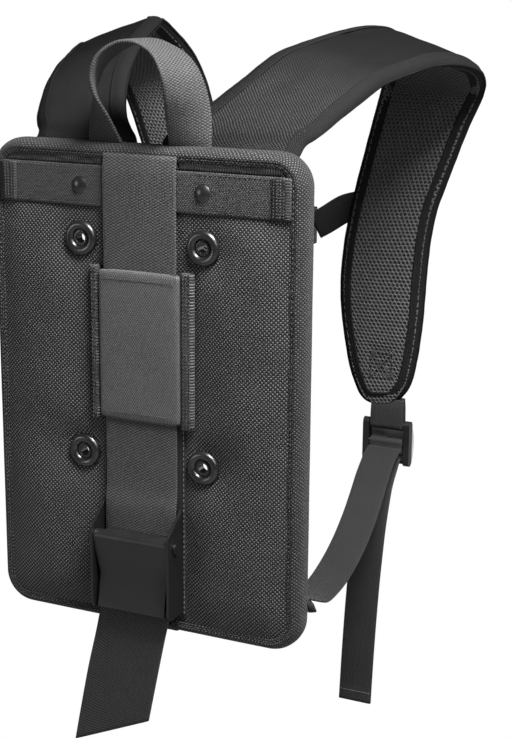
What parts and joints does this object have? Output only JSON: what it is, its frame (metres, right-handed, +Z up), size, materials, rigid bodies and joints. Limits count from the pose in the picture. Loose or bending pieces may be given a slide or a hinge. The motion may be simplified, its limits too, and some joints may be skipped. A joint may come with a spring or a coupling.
{
  "type": "breathing apparatus carrying harness",
  "caption": "Back-carried breathing apparatus harness: padded back plate with cylinder strap and cam buckle, padded shoulder straps, sternum strap, strap adjusters and a grab loop.",
  "frame": {"origin": "centre of the four eyelets, on the front face of the stiffener plate", "axes": "+X right seen from the cylinder side, +Y toward the wearer, +Z up"},
  "size_m": [0.3118, 0.2535, 0.4866],
  "materials": {
    "pack_fabric": "matte basket-weave nylon",
    "shoulder_fabric": "matte plain-weave nylon",
    "sleeve_fabric": "satin ribbed fabric",
    "spacer_mesh": "matte knitted spacer mesh",
    "binding_tape": "matte herringbone tape",
    "webbing": "matte polyester webbing",
    "foam": "closed-cell foam",
    "plate_plastic": "matte polyethylene",
    "black_metal": "satin black powder coat",
    "spring_steel": "bright wire",
    "black_plastic": "satin moulded",
    "grey_plastic": "satin moulded"
  },
  "bodies": {
    "pad": {"front_cover": "pack_fabric", "stiffener_plate": "plate_plastic", "foam_core": "foam", "rear_mesh_panel": "spacer_mesh", "edge_binding": "binding_tape", "top_band": "webbing", "eyelet_rings": "black_metal", "eyelet_washers": "black_metal", "snap_caps": "black_metal", "cylinder_strap": "webbing", "strap_sleeve": "sleeve_fabric", "anchor_web": "webbing", "buckle_frame": "black_metal", "buckle_pin": "black_metal", "buckle_spring": "spring_steel", "corner_tab_right": "webbing", "corner_tab_left": "webbing"},
    "buckle_lever": {"cam_lever": "black_metal"},
    "strap_tail": {"strap_tail": "webbing"},
    "grab_handle": {"grab_handle": "webbing"},
    "shoulder_right": {"shoulder_cover_right": "shoulder_fabric", "shoulder_foam_right": "foam", "shoulder_liner_right": "spacer_mesh", "shoulder_binding_right": "binding_tape", "adjuster_loop_right": "webbing", "lower_web_right": "webbing", "sternum_web_right": "webbing", "sternum_plug": "black_plastic"},
    "adjuster_right": {"adjuster_frame_right": "black_plastic", "bar_wrap_right": "webbing", "adjuster_cover_right": "grey_plastic", "adjuster_rivet_right": "black_plastic"},
    "adjuster_tail_right": {"adjuster_tail_right": "webbing"},
    "shoulder_left": {"shoulder_cover_left": "shoulder_fabric", "shoulder_foam_left": "foam", "shoulder_liner_left": "spacer_mesh", "shoulder_binding_left": "binding_tape", "adjuster_loop_left": "webbing", "lower_web_left": "webbing", "sternum_web_left": "webbing", "sternum_socket": "black_plastic"},
    "adjuster_left": {"adjuster_frame_left": "black_plastic", "bar_wrap_left": "webbing", "adjuster_cover_left": "grey_plastic", "adjuster_rivet_left": "black_plastic"},
    "adjuster_tail_left": {"adjuster_tail_left": "webbing"},
    "latch_upper": {"latch_upper": "black_plastic"},
    "latch_lower": {"latch_lower": "black_plastic"}
  },
  "joints": [
    {"name": "lever_pivot", "type": "hinge", "parent": "pad", "child": "buckle_lever", "pos_m": [0, -0.016, -0.119], "axis": [-1, 0, 0], "range_deg": [0, 95], "stiffness_Nm_per_rad": 0.05},
    {"name": "strap_tail_swing", "type": "hinge", "parent": "pad", "child": "strap_tail", "pos_m": [0, -0.015, -0.165], "axis": [-1, 0, 0], "range_deg": [-4, 50]},
    {"name": "grab_loop_flop", "type": "hinge", "parent": "pad", "child": "grab_handle", "pos_m": [0, 0.002, 0.129], "axis": [1, 0, 0], "range_deg": [-10, 30], "stiffness_Nm_per_rad": 0.3},
    {"name": "shoulder_right_seam", "type": "hinge", "parent": "pad", "child": "shoulder_right", "pos_m": [0, 0.012, 0.128], "axis": [1, 0, 0], "range_deg": [-12, 12], "deforming": ["lower_web_right"]},
    {"name": "shoulder_left_seam", "type": "hinge", "parent": "pad", "child": "shoulder_left", "pos_m": [0, 0.012, 0.128], "axis": [1, 0, 0], "range_deg": [-12, 12], "deforming": ["lower_web_left"]},
    {"name": "adjuster_right_tilt", "type": "hinge", "parent": "shoulder_right", "child": "adjuster_right", "pos_m": [0.08, 0.2165, -0.092], "axis": [1, 0, 0], "range_deg": [0, 25]},
    {"name": "adjuster_tail_right_swing", "type": "hinge", "parent": "shoulder_right", "child": "adjuster_tail_right", "pos_m": [0.08, 0.2125, -0.118], "axis": [1, 0, 0], "range_deg": [-8, 20], "stiffness_Nm_per_rad": 0.1},
    {"name": "adjuster_left_tilt", "type": "hinge", "parent": "shoulder_left", "child": "adjuster_left", "pos_m": [-0.08, 0.2165, -0.092], "axis": [1, 0, 0], "range_deg": [0, 25]},
    {"name": "adjuster_tail_left_swing", "type": "hinge", "parent": "shoulder_left", "child": "adjuster_tail_left", "pos_m": [-0.08, 0.2125, -0.118], "axis": [1, 0, 0], "range_deg": [-8, 20], "stiffness_Nm_per_rad": 0.1},
    {"name": "latch_upper_squeeze", "type": "hinge", "parent": "shoulder_right", "child": "latch_upper", "pos_m": [0, 0.224, 0.0554], "axis": [0, -1, 0], "range_deg": [0, 5], "stiffness_Nm_per_rad": 0.05},
    {"name": "latch_lower_squeeze", "type": "hinge", "parent": "shoulder_right", "child": "latch_lower", "pos_m": [0, 0.224, 0.0406], "axis": [0, 1, 0], "range_deg": [0, 5], "stiffness_Nm_per_rad": 0.05}
  ],
  "couplings": [
    {"joint": "shoulder_left_seam", "follows": "shoulder_right_seam", "ratio": 1},
    {"joint": "latch_lower_squeeze", "follows": "latch_upper_squeeze", "ratio": 1}
  ]
}
